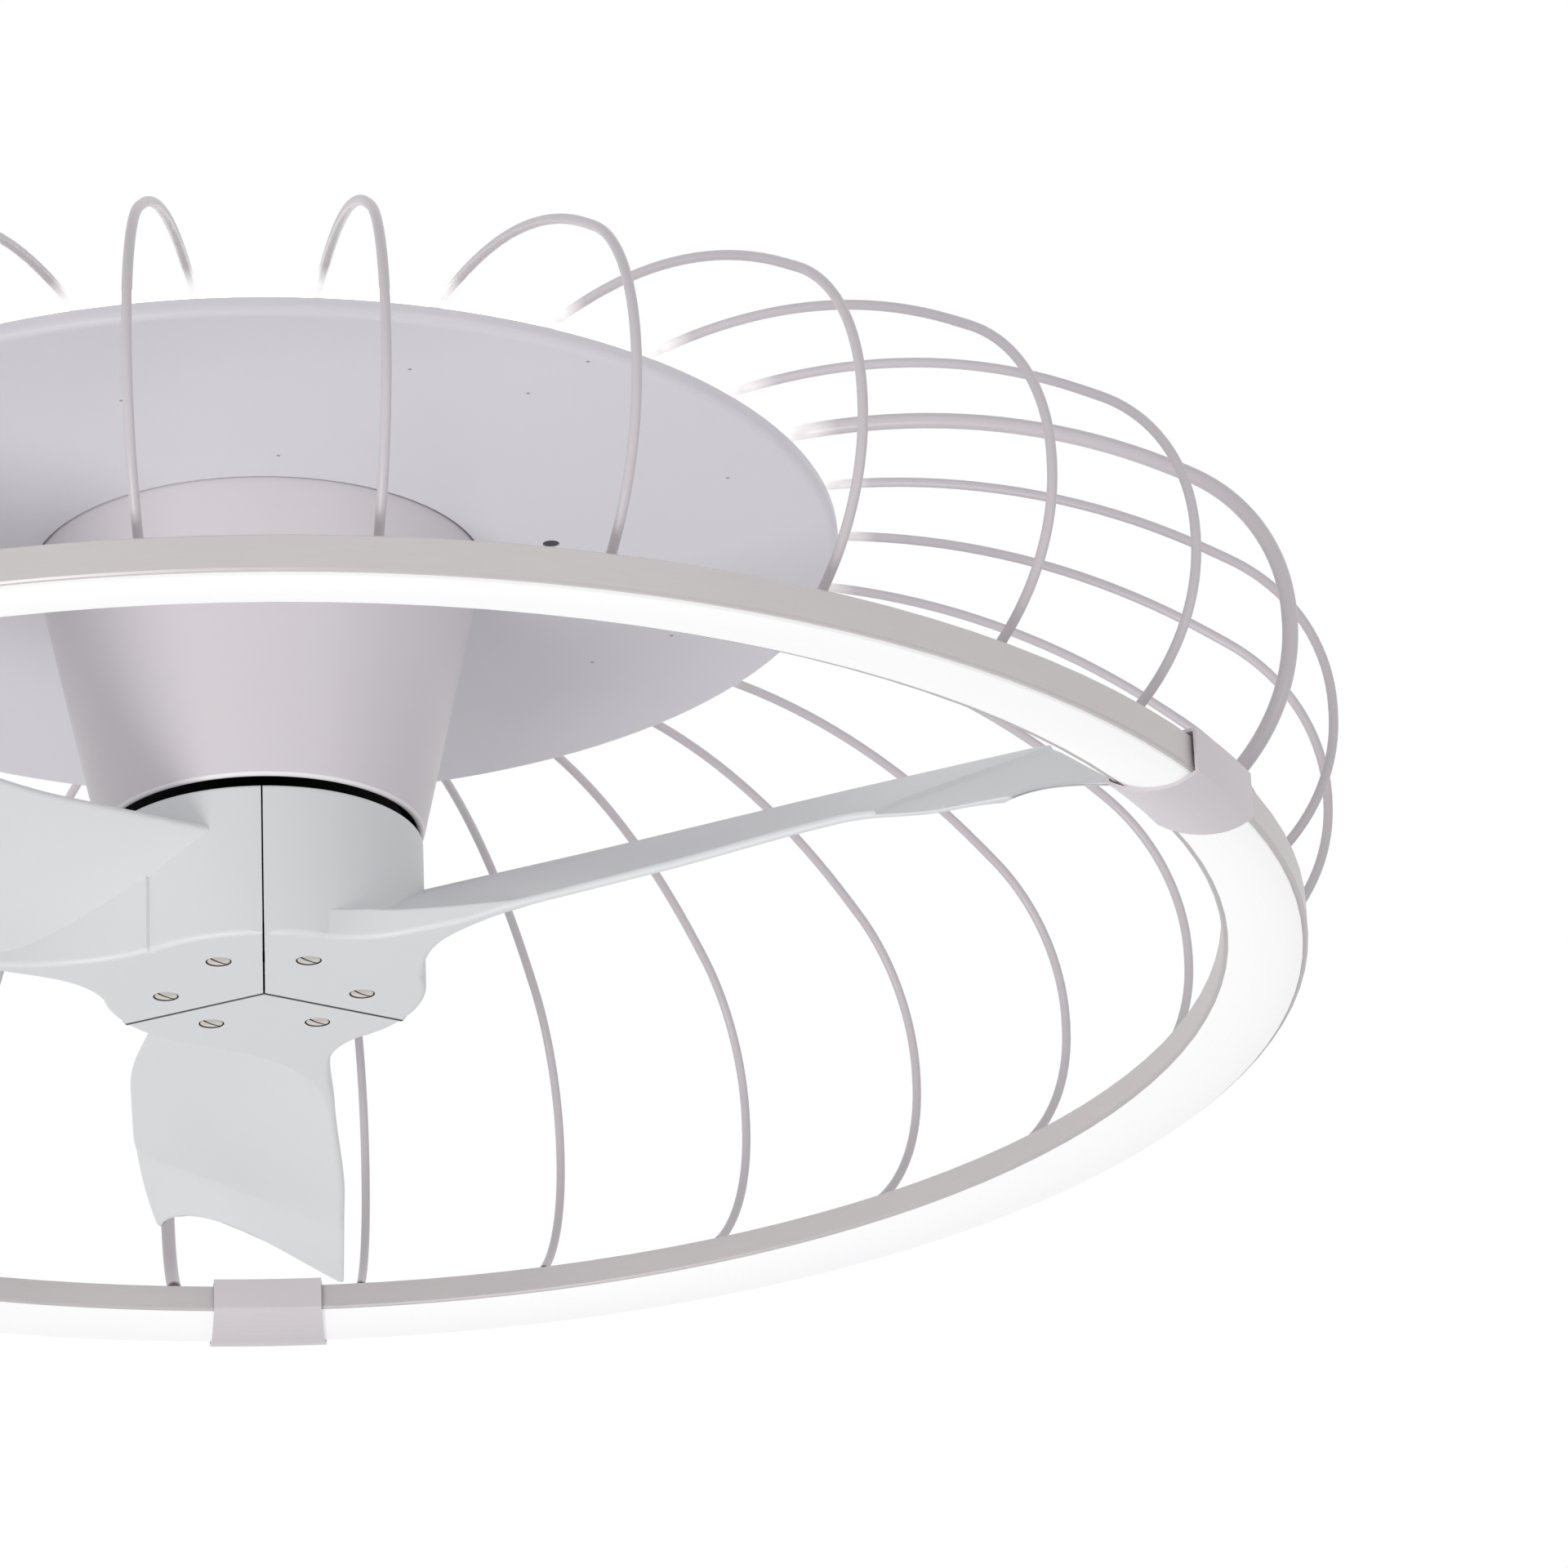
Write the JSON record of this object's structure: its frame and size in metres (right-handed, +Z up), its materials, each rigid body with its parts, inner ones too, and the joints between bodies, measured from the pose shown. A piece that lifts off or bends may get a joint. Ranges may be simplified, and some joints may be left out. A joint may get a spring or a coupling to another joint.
{
  "type": "ceiling fan",
  "caption": "Caged ceiling fan with a flat ring light, a back-lit ceiling disc, a tapered motor housing and moulded blades that turn under it.",
  "frame": {"origin": "centre of the mounting bracket's face on the ceiling", "axes": "+Z up into the ceiling, along the rotor's axis; -Y towards the picture's near side"},
  "size_m": [0.627, 0.6244, 0.1672],
  "materials": {
    "steel": "satin",
    "pan_paint": "satin",
    "black_rubber": "matt",
    "white_plastic": "matt",
    "dark_plastic": "matt",
    "led_strip": "matt",
    "halo_diffuser": "frosted",
    "disc_paint": "satin",
    "housing_paint": "satin",
    "copper": "lacquered",
    "ring_paint": "anodised",
    "ring_diffuser": "frosted",
    "clip_paint": "satin",
    "foot_steel": "satin",
    "aluminium": "cast",
    "blade_plastic": "satin",
    "screw_plating": "satin",
    "wire_paint": "satin"
  },
  "bodies": {
    "root": {"mounting_bracket": "steel", "base_pan": "pan_paint", "cable_grommet": "black_rubber", "driver_box": "white_plastic", "terminal_block": "white_plastic", "remote_receiver": "dark_plastic", "halo_led_strip": "led_strip", "halo_diffuser": "halo_diffuser", "arm_plate": "pan_paint", "frame_screws": "steel", "ceiling_disc": "disc_paint", "motor_housing": "housing_paint", "motor_mount": "steel", "stator": "copper", "bearings": "steel", "ring_profile": "ring_paint", "ring_led_strip": "led_strip", "ring_diffuser": "ring_diffuser", "clip_1": "clip_paint", "clip_2": "clip_paint", "clip_3": "clip_paint", "wire_feet": "foot_steel", "wire_01": "wire_paint", "wire_02": "wire_paint", "wire_03": "wire_paint", "wire_04": "wire_paint", "wire_05": "wire_paint", "wire_06": "wire_paint", "wire_07": "wire_paint", "wire_08": "wire_paint", "wire_09": "wire_paint", "wire_10": "wire_paint", "wire_11": "wire_paint", "wire_12": "wire_paint", "wire_13": "wire_paint", "wire_14": "wire_paint", "wire_15": "wire_paint", "wire_16": "wire_paint", "wire_17": "wire_paint", "wire_18": "wire_paint", "wire_19": "wire_paint", "wire_20": "wire_paint", "wire_21": "wire_paint", "wire_22": "wire_paint", "wire_23": "wire_paint", "wire_24": "wire_paint", "wire_25": "wire_paint", "wire_26": "wire_paint", "wire_27": "wire_paint", "arm_1": "wire_paint", "arm_2": "wire_paint", "arm_3": "wire_paint"},
    "rotor": {"rotor_can": "steel", "rotor_magnets": "dark_plastic", "rotor_shaft": "steel", "hub_carrier": "aluminium", "blade_1": "blade_plastic", "blade_2": "blade_plastic", "blade_3": "blade_plastic", "blade_screws": "screw_plating"}
  },
  "joints": [
    {"name": "rotor_spin", "type": "hinge", "parent": "root", "child": "rotor", "pos_m": [0, 0, -0.08], "axis": [0, 0, 1], "continuous": true}
  ]
}
